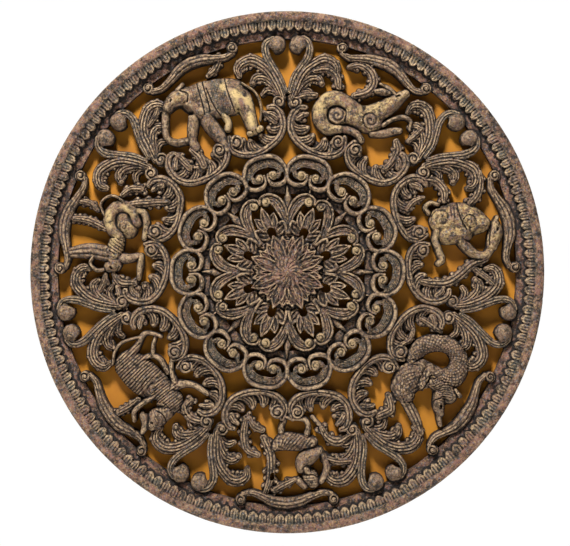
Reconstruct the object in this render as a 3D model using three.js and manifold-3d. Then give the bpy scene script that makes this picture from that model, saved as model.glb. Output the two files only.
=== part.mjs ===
// A round openwork panel of carved wood: a moulded rim, seven framed animals, a ring of
// fourteen C-scrolls and an eight-petalled rosette, in front of a plain painted backing board.
//
// The panel stands upright: X to the right, Z up, and the carved front looks along -Y. The
// origin is at the centre of the board's rear face.
//
// Everything is first drawn flat, seen from the front: x to the right, y up, z towards the
// viewer from the panel's flat back. A unit that repeats round the panel is drawn in a local
// frame whose y axis runs outwards from the panel's centre, and is then turned into place.
// All sizes are in millimetres.

import * as THREE from 'three';
import { mergeVertices } from 'three/addons/utils/BufferGeometryUtils.js';
import Module from 'manifold-3d';

const wasm = await Module();
wasm.setup();

// Driving dimensions
const panelRadius = 500;
const panelDepth = 50;
const boardThickness = 10;
const boardInset = 12;
const seatGap = 0.3;
// The boards have shrunk across their upright grain, so the circle is a little narrow.
const shrinkAcrossGrain = 0.984;
const cartoucheCount = 7;
const scrollCount = 14;
const petalCount = 8;

// Heights above the flat back of the panel
const rimCrest = panelDepth;
const rimShoulder = 38;
const budBand = 42;
const coveFoot = 27;
const barCrest = 38;
const scrollCrest = 38;
const sprayCrest = 26;
const lyreCrest = 36;
const ringTop = 20;
const hookCrest = 33;
const budCrest = 27;
const budEdge = 16;
const leafLayer = 34;
const petalLayer = 43;
const bossCrest = panelDepth;
const beastCrest = 45;
const limbCrest = 32;

// How far up its crest an upright side reaches
const shoulderShare = 0.72;

// Sections of a band, as shares of its half width and of its crest
const ridge = [[1, 0], [0, 1], [-1, 0]];
const dished = [[1, 0], [-0.5, 1], [-1, 0]];
const ridgedFlanks = [[1, 0], [1, shoulderShare], [0, 1], [-1, shoulderShare], [-1, 0]];

// The row of leaf lobes that lines a scroll: how far the lobes and the notches between them
// reach beyond the scroll's edge, and the height of their tips
const lobeReach = 24;
const notchReach = 10;
const lobeTip = 16;

// Radii of the parts that run round the panel
const rimRound = 490;
const budBandInner = 467;
const rimInner = 449;
const ringInner = 152;
const ringOuter = 170;
const bossRadius = 34;

// Turning angles
const fullTurn = 2 * Math.PI;
const cartoucheStep = fullTurn / cartoucheCount;
const scrollStep = fullTurn / scrollCount;
const petalStep = fullTurn / petalCount;
// The first cartouche stands at the foot of the panel.
const footTurn = Math.PI;

// Straight pieces along each curve
const rimPieces = 48;
const ringPieces = scrollCount * 2;
const domePieces = petalCount * 2;
const cScrollPieces = 10;
const leafedPieces = 8;
const hookPieces = 8;
const barPieces = 7;
const lyrePieces = 4;

// A geometry without anything but its corners, as a solid that can be joined and cut.
function joinable(geometry) {
  geometry.deleteAttribute('normal');
  geometry.deleteAttribute('uv');
  const merged = mergeVertices(geometry);
  const mesh = new wasm.Mesh({
    numProp: 3,
    vertProperties: new Float32Array(merged.attributes.position.array),
    triVerts: new Uint32Array(merged.index.array),
  });
  return new wasm.Manifold(mesh);
}

function solid(corners, triangles) {
  const geometry = new THREE.BufferGeometry();
  geometry.setAttribute('position', new THREE.Float32BufferAttribute(corners.flat(), 3));
  geometry.setIndex(triangles.flat());
  return joinable(geometry);
}

function geometryOf(manifold) {
  const mesh = manifold.getMesh();
  const geometry = new THREE.BufferGeometry();
  geometry.setAttribute('position', new THREE.BufferAttribute(mesh.vertProperties, 3));
  geometry.setIndex(new THREE.BufferAttribute(mesh.triVerts, 1));
  return geometry;
}

function join(solids) {
  return solids.reduce((whole, next) => whole.add(next));
}

// A copy of a solid turned round the panel's centre.
function turned(manifold, angle) {
  return joinable(geometryOf(manifold).rotateZ(angle));
}

function ringOf(manifold, count, step, start) {
  const copies = [];
  for (let i = 0; i < count; i += 1) {
    copies.push(turned(manifold, start + i * step));
  }
  return copies;
}

// The same stroke on the other side of the unit's axis.
function mirrored(points) {
  return points.map(([x, ...rest]) => [-x, ...rest]);
}

// The whole of a stroke whose first point lies on the unit's axis.
function bothHalves(half) {
  return [...mirrored(half.slice(1)).reverse(), ...half];
}

// A carved band: a centre line of [x, y, half width] on a smooth curve that is cut into a whole
// number of pieces. The section gives [side, height] corners for a half width and a station. A
// closed band runs back into its own start.
function band(section, points, pieces, closed = false) {
  const knots = points.map((p) => new THREE.Vector3(...p));
  const curve = new THREE.CatmullRomCurve3(knots, closed, 'centripetal');
  const stations = curve.getSpacedPoints(pieces);
  if (closed) {
    stations.pop();
  }
  const count = stations.length;
  const corners = [];
  stations.forEach((at, i) => {
    const before = closed ? stations[(i + count - 1) % count] : stations[Math.max(i - 1, 0)];
    const after = closed ? stations[(i + 1) % count] : stations[Math.min(i + 1, count - 1)];
    const along = new THREE.Vector2(after.x - before.x, after.y - before.y).normalize();
    section(at.z, i).forEach(([side, height]) => {
      corners.push([at.x + along.y * side, at.y - along.x * side, height]);
    });
  });
  const sides = corners.length / count;
  const triangles = [];
  for (let i = 0; i < pieces; i += 1) {
    const here = i * sides;
    const next = ((i + 1) % count) * sides;
    for (let j = 0; j < sides; j += 1) {
      const k = (j + 1) % sides;
      triangles.push([here + j, next + j, next + k], [here + j, next + k, here + k]);
    }
  }
  const last = (count - 1) * sides;
  for (let j = 1; j < sides - 1 && !closed; j += 1) {
    triangles.push([0, j, j + 1], [last, last + j + 1, last + j]);
  }
  return solid(corners, triangles);
}

// One section all along a band, from shares of its half width and of its crest.
function scaled(section, crest) {
  return (halfWidth) => section.map(([side, rise]) => [side * halfWidth, rise * crest]);
}

// A ridged scroll with a row of leaf lobes along its right side, as it is drawn.
function leafedScroll(points) {
  const section = (halfWidth, station) => {
    const fade = Math.sin(Math.PI * station / leafedPieces);
    const reach = halfWidth + fade * (station % 2 === 1 ? lobeReach : notchReach);
    return [[reach, 0], [reach, lobeTip], [0, scrollCrest], [-halfWidth, 0]];
  };
  return band(section, points, leafedPieces);
}

// An animal's back: upright flanks under a ridge.
function back(points, pieces, crest = beastCrest) {
  return band(scaled(ridgedFlanks, crest), points, pieces);
}

// A leg, an arm or a horn.
function limb(points, pieces) {
  return band(scaled(ridge, limbCrest), points, pieces);
}

// A sprig of leaf, a little lower.
function sprig(points, pieces) {
  return band(scaled(ridge, sprayCrest), points, pieces);
}

// A low mound over an outline, with upright sides to its shoulder and one point at the top.
function mound(outline, peak, crest, shoulder = crest * shoulderShare) {
  const count = outline.length;
  const flat = outline.map(([x, y]) => new THREE.Vector2(x, y));
  if (THREE.ShapeUtils.isClockWise(flat)) {
    return mound([...outline].reverse(), peak, crest, shoulder);
  }
  const corners = [];
  outline.forEach(([x, y]) => corners.push([x, y, 0]));
  outline.forEach(([x, y]) => corners.push([x, y, shoulder]));
  corners.push([...peak, crest]);
  const triangles = [];
  for (let i = 0; i < count; i += 1) {
    const next = (i + 1) % count;
    triangles.push([i, next, next + count], [i, next + count, i + count]);
    triangles.push([i + count, next + count, 2 * count]);
  }
  THREE.ShapeUtils.triangulateShape(flat, []).forEach(([a, b, c]) => triangles.push([c, b, a]));
  return solid(corners, triangles);
}

// A round mound on the panel's axis.
function dome(radius, crest) {
  const outline = [];
  for (let i = 0; i < domePieces; i += 1) {
    const angle = (i + 0.5) * fullTurn / domePieces;
    outline.push([radius * Math.cos(angle), radius * Math.sin(angle)]);
  }
  return mound(outline, [0, 0], crest);
}

// A ring whose section is given as [radius, height] corners.
function turnedRing(section, pieces) {
  const profile = [...section, section[0]].map(([radius, height]) => new THREE.Vector2(radius, height));
  return joinable(new THREE.LatheGeometry(profile, pieces).rotateX(Math.PI / 2));
}

// The moulded rim: a rounded outer edge, a band for the row of buds and a sloping cove.
function rim() {
  return turnedRing([
    [panelRadius, 0],
    [panelRadius, rimShoulder],
    [rimRound, rimCrest],
    [budBandInner, budBand],
    [rimInner, coveFoot],
    [rimInner, 0],
  ], rimPieces);
}

// The plain flat ring between the C-scrolls and the rosette.
function plainRing() {
  return turnedRing([
    [ringOuter, 0],
    [ringOuter, ringTop],
    [ringInner, ringTop],
    [ringInner, 0],
  ], ringPieces);
}

// One kidney-shaped C-scroll with its back outwards and a dished face. Its two rolled ends meet
// at the axis.
function cScroll() {
  const half = [[0, 218, 12], [21, 214, 13], [33, 200, 10], [31, 185, 13], [16, 180, 14], [1, 182, 9]];
  const loop = [...half, ...mirrored(half.slice(1)).reverse()];
  return band(scaled(dished, scrollCrest), loop, cScrollPieces, true);
}

// Two hooked arms of the rosette that rise from one root between two petals, with a bud.
function hookPair() {
  const half = [[0, 95, 9], [9, 120, 6.5], [21, 138, 6], [36, 142, 8], [47, 135, 8]];
  const bud = [[0, 104], [8, 143], [0, 158], [-8, 143]];
  return join([
    band(scaled(ridge, hookCrest), bothHalves(half), hookPieces),
    mound(bud, [0, 134], budCrest, budEdge),
  ]);
}

// Two layers of leaf on the axis of a petal: a lower leaf and an upper petal.
function petalLeaves() {
  const lower = [[0, 54], [36, 88], [23, 94], [22, 110], [0, 126]];
  const upper = [[0, 26], [18, 50], [0, 73]];
  return mound(bothSides(lower), [0, 97], leafLayer).add(mound(bothSides(upper), [0, 50], petalLayer));
}

// A closed outline from its right half, which starts and ends on the axis.
function bothSides(half) {
  return [...half, ...mirrored(half.slice(1, -1)).reverse()];
}

function rosette() {
  return join([
    ...ringOf(hookPair(), petalCount, petalStep, 0),
    ...ringOf(petalLeaves(), petalCount, petalStep, petalStep / 2),
    dome(bossRadius, bossCrest),
  ]);
}

// The bowed bar at the head of a cartouche, rolled up into a small volute at each end.
function bar() {
  const half = [[0, 443, 11.5], [26, 440, 10], [50, 431, 9], [74, 424, 7], [91, 434, 11]];
  return band(scaled(ridge, barCrest), bothHalves(half), barPieces);
}

// The long C-scroll down one side of a cartouche, with leaf lobes on its hollow side.
function sideScroll() {
  return leafedScroll([
    [90, 400, 10], [104, 405, 16], [120, 400, 14], [134, 383, 12],
    [143, 358, 10], [143, 332, 9], [136, 309, 11], [122, 300, 10],
  ]);
}

// The scroll that arches under one half of a cartouche, up to the volute at the axis.
function archScroll() {
  return leafedScroll([
    [108, 283, 8], [117, 268, 9], [108, 249, 9], [84, 235, 9],
    [55, 230, 9], [28, 237, 10], [11, 257, 11], [22, 271, 11],
  ]);
}

// One arm of the lyre between two cartouches, drawn in the frame of the gap. It has a ball at
// its head, and its foot leans on the back of the neighbouring side scroll.
function lyreArm() {
  return band(scaled(ridge, lyreCrest), [
    [13, 438, 13], [30, 443, 8], [42, 431, 7], [41, 414, 7], [32, 396, 7],
  ], lyrePieces);
}

// The other side's copy of a solid, for what is carved alike on both sides of an axis.
function mirrorImage(manifold) {
  const geometry = geometryOf(manifold).scale(-1, 1, 1);
  const corners = geometry.index.array;
  for (let i = 0; i < corners.length; i += 3) {
    [corners[i], corners[i + 1]] = [corners[i + 1], corners[i]];
  }
  return joinable(geometry);
}

// The animals, each in the frame of its own cartouche, feet towards the panel's centre.

function figure() {
  return [
    back([[-52, 412, 12], [-45, 398, 20], [-39, 374, 13], [-28, 352, 20], [-8, 330, 25], [6, 306, 12]], 5),
    limb([[-40, 366, 11], [-74, 376, 9], [-66, 414, 6]], 2),
    limb([[-5, 310, 10], [-40, 298, 9], [-20, 266, 8]], 2),
    limb([[4, 312, 8], [42, 346, 17], [30, 386, 14], [42, 434, 7]], 3),
    sprig([[40, 342, 10], [82, 332, 12], [96, 260, 6]], 2),
    sprig([[-60, 372, 8], [-112, 370, 7]], 1),
    sprig([[-132, 306, 8], [-96, 312, 15], [-30, 298, 5]], 2),
  ];
}

function serpent() {
  return [
    back([[16, 424, 10], [0, 374, 22], [2, 332, 34], [30, 308, 30], [50, 318, 12]], 4),
    back([
      [-4, 296, 14], [-50, 291, 16], [-86, 318, 16], [-91, 352, 15],
      [-66, 379, 15], [-30, 372, 15], [-10, 344, 12],
    ], 7, limbCrest),
    limb([[36, 320, 14], [68, 376, 9], [98, 404, 6]], 2),
    sprig([[20, 296, 10], [76, 318, 9], [132, 306, 7]], 2),
    sprig([[-96, 310, 9], [-94, 254, 6]], 1),
  ];
}

function rampantBeast() {
  return [
    back([[-48, 294, 18], [-30, 330, 33], [-18, 366, 33], [-2, 398, 18]], 3),
    back([[-16, 422, 9], [14, 418, 17], [46, 398, 13], [50, 370, 11], [14, 350, 12]], 4, limbCrest),
    limb([[-24, 300, 12], [26, 297, 10], [80, 320, 7]], 2),
    limb([[-10, 300, 9], [-18, 258, 7]], 1),
    sprig([[-2, 336, 8], [76, 352, 13], [94, 310, 12], [90, 255, 8]], 3),
    sprig([[72, 350, 9], [120, 394, 7]], 1),
    sprig([[-40, 334, 9], [-86, 322, 12], [-142, 340, 8]], 2),
    sprig([[-112, 404, 9], [-70, 396, 10], [-30, 370, 7]], 2),
  ];
}

function curledBeast() {
  return [
    back([[-90, 312, 20], [-50, 314, 40], [-12, 330, 26], [22, 338, 29], [44, 382, 18], [64, 418, 8]], 6),
    limb([[26, 318, 12], [60, 326, 10], [86, 333, 7]], 2),
    limb([[-40, 290, 10], [0, 298, 9], [24, 308, 10]], 2),
    limb([[10, 302, 8], [18, 258, 7]], 1),
    limb([[-38, 340, 8], [-12, 382, 13], [-30, 414, 12], [-56, 436, 6]], 3),
    sprig([[46, 332, 9], [90, 312, 13], [90, 255, 8]], 2),
    sprig([[-70, 332, 9], [-134, 308, 9]], 1),
    sprig([[-104, 400, 9], [-72, 384, 9], [-58, 334, 6]], 2),
  ];
}

function elephant() {
  return [
    back([
      [-84, 378, 10], [-50, 390, 15], [-18, 374, 30], [20, 362, 38],
      [52, 352, 33], [66, 318, 18], [62, 256, 14],
    ], 6),
    limb([[-18, 362, 12], [-46, 322, 11], [-72, 286, 8]], 2),
    limb([[-10, 356, 12], [-8, 314, 13], [-8, 256, 14]], 2),
    limb([[22, 336, 11], [12, 276, 9]], 1),
    limb([[-80, 378, 7], [-98, 330, 7], [-62, 292, 8], [-52, 256, 6]], 3),
    sprig([[-8, 386, 8], [30, 414, 9], [54, 436, 7]], 2),
  ];
}

function fantasticLion() {
  return [
    back([[46, 368, 14], [30, 342, 30], [14, 322, 28], [-18, 338, 16], [-66, 340, 16]], 4),
    limb([[-46, 342, 16], [-38, 380, 14], [-52, 438, 7]], 2),
    limb([[28, 356, 7], [58, 384, 6], [56, 336, 7]], 3),
    limb([[16, 352, 8], [8, 390, 9], [14, 442, 8]], 2),
    limb([[-44, 334, 14], [-34, 296, 8], [-84, 270, 6]], 2),
    limb([[34, 330, 12], [44, 290, 8], [-12, 272, 6]], 2),
    sprig([[34, 326, 9], [86, 322, 13], [92, 256, 8]], 2),
    sprig([[-34, 334, 8], [-80, 310, 14], [-134, 300, 7]], 2),
    sprig([[-84, 308, 9], [-116, 346, 8]], 1),
  ];
}

function stripedBeast() {
  return [
    back([[-60, 406, 14], [-58, 380, 24], [-54, 354, 19], [-30, 338, 28], [20, 346, 36], [76, 356, 24]], 5),
    limb([[-54, 434, 6], [-32, 392, 10], [-24, 344, 6]], 2),
    limb([[-26, 322, 11], [-50, 290, 8], [-100, 246, 6]], 2),
    limb([[-20, 326, 11], [18, 272, 8]], 1),
    limb([[58, 340, 11], [20, 276, 8]], 1),
    limb([[72, 344, 11], [86, 290, 8], [52, 236, 6]], 2),
    sprig([[-18, 356, 10], [2, 448, 7]], 1),
    sprig([[-134, 302, 9], [-96, 308, 14], [-34, 326, 8]], 2),
  ];
}

const beasts = [figure, serpent, rampantBeast, curledBeast, elephant, fantasticLion, stripedBeast];

// The frame that every cartouche has in common.
function cartoucheFrame() {
  const rightHalf = join([sideScroll(), archScroll()]);
  return join([rightHalf, mirrorImage(rightHalf), bar()]);
}

function carvedPanel() {
  const lyreStart = footTurn + cartoucheStep / 2;
  const scrollStart = footTurn + scrollStep / 2;
  return join([
    rim(),
    plainRing(),
    ...ringOf(cartoucheFrame(), cartoucheCount, cartoucheStep, footTurn),
    ...ringOf(lyreArm(), cartoucheCount, cartoucheStep, lyreStart),
    ...ringOf(mirrorImage(lyreArm()), cartoucheCount, cartoucheStep, lyreStart),
    ...ringOf(cScroll(), scrollCount, scrollStep, scrollStart),
    rosette(),
    ...beasts.map((beast, i) => turned(join(beast()), footTurn + i * cartoucheStep)),
  ]);
}

// Stands the flat drawing upright, its front towards -Y, in front of the board.
function upright(geometry, backPlane) {
  return geometry.scale(shrinkAcrossGrain, 1, 1).rotateX(Math.PI / 2).translate(0, -backPlane, 0);
}

const carvedWood = new THREE.MeshStandardMaterial({ color: '#6b5a4c', roughness: 0.75, metalness: 0 });
const ochrePaint = new THREE.MeshStandardMaterial({ color: '#c98a2b', roughness: 0.85, metalness: 0 });

const panel = new THREE.Mesh(upright(geometryOf(carvedPanel()), boardThickness + seatGap), carvedWood);
panel.name = 'carved_panel';

const boardRadius = panelRadius - boardInset;
const boardDisc = new THREE.CylinderGeometry(boardRadius, boardRadius, boardThickness, rimPieces);
boardDisc.scale(shrinkAcrossGrain, 1, 1);
const board = new THREE.Mesh(boardDisc, ochrePaint);
board.name = 'backing_board';
board.position.y = -boardThickness / 2;

const roundel = new THREE.Group();
roundel.add(panel, board);

export default roundel;
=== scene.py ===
# %% [markdown]
# # A round openwork panel of carved wood
# The real panel is one thick disc of joined planks, pierced right through and carved from the
# front, with a painted board behind it. The frame already holds both solids. This lesson keeps
# the board and carves the panel again, finer, so that the flutes, scales and rolled ends show.

# %% Load the frame
import math

import bmesh
import bpy
import numpy as np
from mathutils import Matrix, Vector


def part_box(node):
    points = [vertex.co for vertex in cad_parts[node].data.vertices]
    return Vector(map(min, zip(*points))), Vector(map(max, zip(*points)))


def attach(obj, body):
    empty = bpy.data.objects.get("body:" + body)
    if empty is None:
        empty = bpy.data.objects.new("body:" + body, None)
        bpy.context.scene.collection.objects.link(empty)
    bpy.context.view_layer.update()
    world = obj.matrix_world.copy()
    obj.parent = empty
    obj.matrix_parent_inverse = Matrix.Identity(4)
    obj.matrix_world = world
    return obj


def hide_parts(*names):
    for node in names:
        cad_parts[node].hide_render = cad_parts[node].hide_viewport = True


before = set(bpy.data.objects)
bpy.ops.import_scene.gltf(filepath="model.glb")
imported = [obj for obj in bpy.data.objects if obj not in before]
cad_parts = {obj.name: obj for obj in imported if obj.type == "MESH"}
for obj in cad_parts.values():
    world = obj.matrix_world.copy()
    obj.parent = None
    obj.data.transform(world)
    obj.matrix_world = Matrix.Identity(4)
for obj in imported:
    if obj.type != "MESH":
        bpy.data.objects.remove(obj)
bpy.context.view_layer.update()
panel_low, panel_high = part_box("carved_panel")
print("carved_panel runs from", tuple(panel_low), "to", tuple(panel_high))

# %% [markdown]
# ## The drawing ground
# A carver starts from a drawing on a flat face and cuts down from it, so the panel is a height
# over a flat back for every point of the drawing. A fine square grid of heights is the digital
# form of that, and it lets any tool mark be a formula. Everything is drawn in millimetres.

# %% The grid and its layers
PANEL_RADIUS = 500.0
PANEL_DEPTH = 50.0
BACK_PLANE = 10.3
SHRINK_ACROSS_GRAIN = 0.984
CELL = 1.25
GRID_HALF = PANEL_RADIUS + 2 * CELL
FULL_TURN = 2 * math.pi
FAR_OUTSIDE = -99.0

axis = np.arange(-GRID_HALF, GRID_HALF + CELL / 2, CELL)
grid_x, grid_y = np.meshgrid(axis, axis)
grid_radius = np.hypot(grid_x, grid_y)
grid_angle = np.arctan2(grid_y, grid_x)


def cloud(pitch, seed):
    """A smooth random layer between -1 and 1 whose bumps are about one pitch wide."""
    knots = int(2 * GRID_HALF / pitch) + 3
    values = np.random.default_rng(seed).uniform(-1, 1, (knots, knots))
    place = (axis + GRID_HALF) / pitch
    low = place.astype(int)
    share = place - low
    share = share * share * (3 - 2 * share)
    rows = values[low] * (1 - share)[:, None] + values[low + 1] * share[:, None]
    return rows[:, low] * (1 - share) + rows[:, low + 1] * share


# A hand-cut line wanders a little, so the motifs are drawn on slightly warped ground.
WANDER = 1.6
drawn_x = grid_x + WANDER * cloud(34, 1)
drawn_y = grid_y + WANDER * cloud(34, 2)

# How far inside the wood a point is, how high the wood stands there, and the height that the
# nearest edge has where there is none.
inside = np.full(grid_x.shape, FAR_OUTSIDE)
height = np.zeros(grid_x.shape)
brink = np.zeros(grid_x.shape)
tints = {name: np.zeros(grid_x.shape) for name in ("gold", "red", "teal", "gilt")}
print("the drawing has", grid_x.size, "points,", CELL, "mm apart")

# %% [markdown]
# ## Strokes
# Every scroll, leaf and limb is a stroke of the gouge: a smooth centre line with a width that
# swells and tapers. For each point of the grid near it we need the distance to the centre line
# and how far along it lies. The section, the grooves and the outline all follow from these.

# %% A smooth line through a few points
def smooth(points, steps=5):
    """A smooth line through [x, y, half width] points."""
    knots = np.array(points, float)
    if len(knots) == 2:
        return np.linspace(knots[0], knots[1], steps + 1)
    knots = np.vstack([2 * knots[0] - knots[1], knots, 2 * knots[-1] - knots[-2]])
    line = []
    for a, b, c, d in zip(knots, knots[1:], knots[2:], knots[3:]):
        ta = 0.0
        tb = ta + math.sqrt(math.dist(a[:2], b[:2])) + 1e-6
        tc = tb + math.sqrt(math.dist(b[:2], c[:2])) + 1e-6
        td = tc + math.sqrt(math.dist(c[:2], d[:2])) + 1e-6
        for t in np.linspace(tb, tc, steps, endpoint=False):
            ab = a + (b - a) * (t - ta) / (tb - ta)
            bc = b + (c - b) * (t - tb) / (tc - tb)
            cd = c + (d - c) * (t - tc) / (td - tc)
            abc = ab + (bc - ab) * (t - ta) / (tc - ta)
            bcd = bc + (cd - bc) * (t - tb) / (td - tb)
            line.append(abc + (bcd - abc) * (t - tb) / (tc - tb))
    line.append(knots[-2])
    return np.array(line)


def measure(line, x, y):
    """Inside distance, signed side distance, way along, half width and length."""
    best = np.full(x.shape, -FAR_OUTSIDE * 10)
    side, way, width = np.zeros(x.shape), np.zeros(x.shape), np.ones(x.shape)
    walked = 0.0
    for (ax, ay, aw), (bx, by, bw) in zip(line, line[1:]):
        dx, dy = bx - ax, by - ay
        length = math.hypot(dx, dy) + 1e-9
        t = np.clip(((x - ax) * dx + (y - ay) * dy) / length ** 2, 0, 1)
        ox, oy = x - ax - t * dx, y - ay - t * dy
        distance = np.hypot(ox, oy)
        here = aw + t * (bw - aw)
        nearer = distance - here < best
        best = np.where(nearer, distance - here, best)
        side = np.where(nearer, distance * np.where(ox * dy - oy * dx > 0, 1.0, -1.0), side)
        way = np.where(nearer, walked + t * length, way)
        width = np.where(nearer, here, width)
        walked += length
    return -best, side, way, width, walked


def beside(line, walked, station, away):
    """The point that lies off a line, at a way along it and a distance to its right."""
    ahead = min(station + 2, walked[-1])
    behind = max(ahead - 4, 0)
    x, y = (np.interp(station, walked, line[:, k]) for k in (0, 1))
    dx, dy = (np.interp(ahead, walked, line[:, k]) - np.interp(behind, walked, line[:, k]) for k in (0, 1))
    size = math.hypot(dx, dy) + 1e-9
    over = max(station - walked[-1], 0)
    return x + (dy * away + dx * over) / size, y + (dy * over - dx * away) / size

# %% [markdown]
# ## Laying wood on the ground
# Where two strokes meet the higher one covers the lower, as one leaf overlaps another.

# %% Merge a shape into the layers
def lay(spot, inner, top, **tint):
    """Adds a shape: its inside distance and its height over a part of the grid."""
    covered = (inner > 0) & (top > height[spot])
    height[spot] = np.where(covered, top, height[spot])
    for name, layer in tints.items():
        layer[spot] = np.where(covered, tint.get(name, 0.0), layer[spot])
    brink[spot] = np.where(inner > inside[spot], top, brink[spot])
    inside[spot] = np.maximum(inside[spot], inner)


def groove_between(share, count, sharpness=4):
    """One at the lines that part a width of -1 to 1 into a number of reeds, else near zero."""
    wave = np.abs(np.cos(math.pi * count * (share + 1) / 2))
    return np.where(np.abs(share) < 1 - 1 / count, wave ** sharpness, 0.0)

# %% [markdown]
# ## A unit of the pattern
# The pattern repeats round the panel, so each motif is drawn once in a frame of its own, with y
# outwards from the centre. A unit says how that frame is turned and whether it is mirrored, and
# holds the few cuts that all motifs are made of.

# %% The tools of one unit
chisel = np.random.default_rng(11)


class Unit:
    def __init__(self, turn, flip=1):
        self.turn = turn
        self.flip = flip

    def window(self, line, reach):
        """The part of the grid round a line, and its points in the unit's own frame."""
        cos, sin = math.cos(self.turn), math.sin(self.turn)
        x = self.flip * line[:, 0] * cos - line[:, 1] * sin
        y = self.flip * line[:, 0] * sin + line[:, 1] * cos
        low_x, high_x = np.searchsorted(axis, (x.min() - reach, x.max() + reach))
        low_y, high_y = np.searchsorted(axis, (y.min() - reach, y.max() + reach))
        spot = (slice(low_y, high_y), slice(low_x, high_x))
        gx, gy = drawn_x[spot], drawn_y[spot]
        return spot, self.flip * (gx * cos + gy * sin), gy * cos - gx * sin

    def band(self, points, crest, edge=0.75, reeds=1, groove=2.0, foot=None, **tint):
        """A band with a rounded or reeded section. Its crest may run down to a foot height."""
        line = smooth(points)
        spot, x, y = self.window(line, line[:, 2].max() + 2 * CELL)
        inner, side, way, width, length = measure(line, x, y)
        share = np.clip(side / width, -1, 1)
        top = crest if foot is None else crest + (foot - crest) * way / length
        top = top * (edge + (1 - edge) * (1 - share ** 2) ** 0.7)
        if reeds > 1:
            top = top - groove * groove_between(share, reeds)
        lay(spot, inner, top, **tint)

    def roll(self, centre, radius, crest, spin=1, start=0.0, rolls=1.7, depth=7.0, **tint):
        """A rolled end: a disc with a spiral groove that winds in to a round eye."""
        cx, cy = centre
        spot, x, y = self.window(np.array([[cx, cy, radius]]), radius + 2 * CELL)
        reach = np.hypot(x - cx, y - cy)
        phase = reach * rolls / radius - spin * np.arctan2(y - cy, x - cx) / FULL_TURN + start
        eye = radius * 0.32
        groove = np.where(reach > eye, np.abs(np.cos(math.pi * phase)) ** 3, 0)
        top = crest + 4 * (1 - reach / radius) - depth * groove
        top = np.where(reach < eye, crest + 4 * (1 - (reach / eye) ** 4), top)
        top = top - 0.25 * crest * np.clip(reach / radius, 0, 1) ** 6
        lay(spot, radius - reach, top, **tint)

    def knob(self, centre, radius, crest, **tint):
        """The small round back of a tip that curls over, or a ball."""
        cx, cy = centre
        self.band([[cx, cy, radius], [cx, cy + 0.1, radius]], crest, edge=0.55, **tint)

    def lobes(self, points, count, reach, length, crest, tip, side=1, half=8.0, start=0.0, stop=0.8, reeds=3, **tint):
        """Fluted lobes that peel off one side of a line and curl over at their tips."""
        line = smooth(points, 8)
        walked = np.cumsum(np.r_[0, np.hypot(*np.diff(line[:, :2], axis=0).T)])
        for i in range(count):
            root = (start + (stop - start) * i / max(count - 1, 1)) * walked[-1]
            swell = 0.75 + 0.25 * math.sin(math.pi * (i + 0.7) / (count + 0.4))
            swell = swell * chisel.uniform(0.88, 1.12)
            lobe = []
            for part, share in ((0.0, 0.6), (0.35, 0.95), (0.7, 1.0), (0.9, 0.85), (1.0, 0.6)):
                station = root + length * swell * math.sin(part * math.pi / 2)
                away = side * reach * swell * part ** 1.6
                lobe.append([*beside(line, walked, station, away), half * share])
            self.band(lobe, crest, edge=0.66, reeds=reeds, groove=3.6, foot=tip, **tint)
            self.knob(lobe[-1][:2], half * 0.55, tip + 4, **tint)

    def plume(self, points, crest=30, count=4, reach=10, length=16, half=7.5, **tint):
        """A free leaf: a fluted spine with broad lobes on both sides."""
        for side in (1, -1):
            self.lobes(points, count, reach, length, crest, crest - 7, side, half, 0.0, 0.8, 3, **tint)
        self.band(points, crest + 3, edge=0.6, reeds=3, groove=3.5, **tint)

    def body(self, strokes, crest, edge=0.45, soft=3.0, **tint):
        """Several strokes that flow into one rounded form."""
        lines = [smooth(points) for points in strokes]
        spot, x, y = self.window(np.vstack(lines), max(line[:, 2].max() for line in lines) + 3 * CELL)
        inner_sum, top_sum = np.zeros(x.shape), np.zeros(x.shape)
        for line in lines:
            inner, side, way, width, length = measure(line, x, y)
            share = np.clip(1 - inner / width, 0, 1)
            top = crest * (edge + (1 - edge) * (1 - share ** 2) ** 0.8)
            top = np.where(inner > -3 * CELL, top, 0)
            inner_sum += np.exp(np.clip(inner, -40, 40) / soft)
            top_sum += np.exp(top)
        lay(spot, soft * np.log(inner_sum), np.log(top_sum), **tint)

    def score(self, points, depth, **tint):
        """A groove cut into what is already there, or a raised line if the depth is negative."""
        line = smooth(points)
        spot, x, y = self.window(line, line[:, 2].max() + CELL)
        inner, side, way, width, length = measure(line, x, y)
        share = np.clip(inner / width, 0, 1)
        height[spot] -= depth * share * (2 - share) * (inside[spot] > 0)
        for name, value in tint.items():
            tints[name][spot] = np.where(inner > 0, value, tints[name][spot])

    def pierce(self, points):
        """Cuts right through whatever lies under a stroke."""
        line = smooth(points)
        spot, x, y = self.window(line, line[:, 2].max() + 2 * CELL)
        inside[spot] = np.minimum(inside[spot], -measure(line, x, y)[0])

    def paint(self, points, **tint):
        """What is left of a colour on the ground below a stroke."""
        self.score(points, 0.0, **tint)

    def coil(self, centre, radius, depth=3.0, rolls=1.6, spin=1):
        """A spiral groove on what is already there."""
        cx, cy = centre
        spot, x, y = self.window(np.array([[cx, cy, radius]]), radius)
        reach = np.hypot(x - cx, y - cy)
        phase = reach * rolls / radius - spin * np.arctan2(y - cy, x - cx) / FULL_TURN
        groove = np.abs(np.cos(math.pi * phase)) ** 3
        height[spot] -= np.where((reach < radius) & (inside[spot] > 0), depth * groove, 0)

    def hatch(self, points, pitch, depth, slant=0.0, cross=False):
        """Fine parallel cuts across a stroke, or crossing cuts that leave scales."""
        line = smooth(points)
        spot, x, y = self.window(line, line[:, 2].max() + CELL)
        inner, side, way, width, length = measure(line, x, y)
        cuts = np.abs(np.cos(math.pi * (way + slant * side) / pitch)) ** 4
        if cross:
            cuts = np.maximum(cuts, np.abs(np.cos(math.pi * (way * 0.6 - side) / pitch)) ** 4)
        height[spot] -= depth * cuts * (inner > 0) * (inside[spot] > 0)


everywhere = (slice(None), slice(None))

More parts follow.
